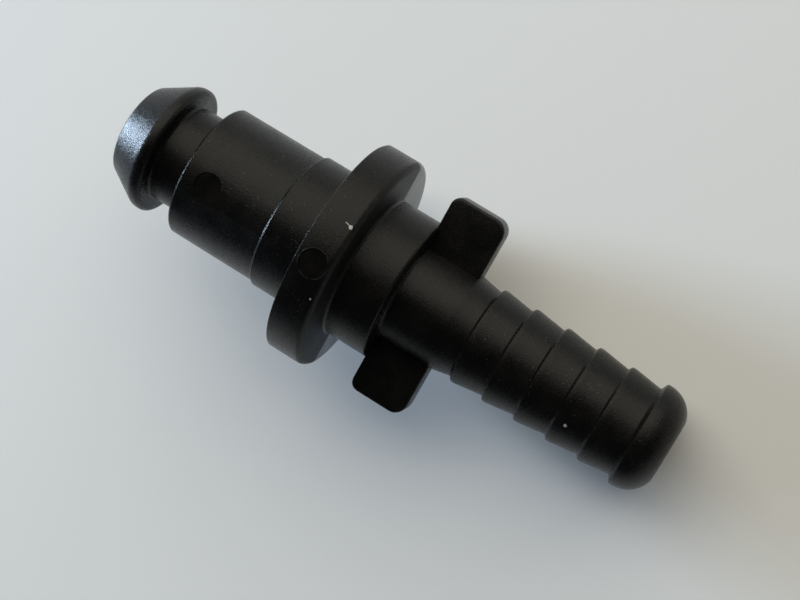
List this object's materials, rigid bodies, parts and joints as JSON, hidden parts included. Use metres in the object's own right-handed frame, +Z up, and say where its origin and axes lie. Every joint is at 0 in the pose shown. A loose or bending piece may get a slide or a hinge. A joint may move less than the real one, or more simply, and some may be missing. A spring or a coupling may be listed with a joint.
{
  "type": "quick disconnect coupling plug",
  "caption": "Male plug of a plastic quick disconnect coupling, moulded whole: coned tip, empty seal groove, sealing body, flange, collar with flat wings and a barbed hose tail.",
  "frame": {"origin": "middle of the footprint's box, on the surface that the plug lies on", "axes": "+X runs from tip to hose tail along the surface, +Z is up, and the wings lie level along Y. The plug's own axis dips towards the tail by 10.4 degrees, because it lies on its flange and on the bead of its tail."},
  "size_m": [0.0834, 0.031, 0.0312],
  "materials": {
    "black_nylon": "matt moulded, glass filled"
  },
  "bodies": {
    "root": {"coupling_body": "black_nylon"}
  },
  "joints": []
}
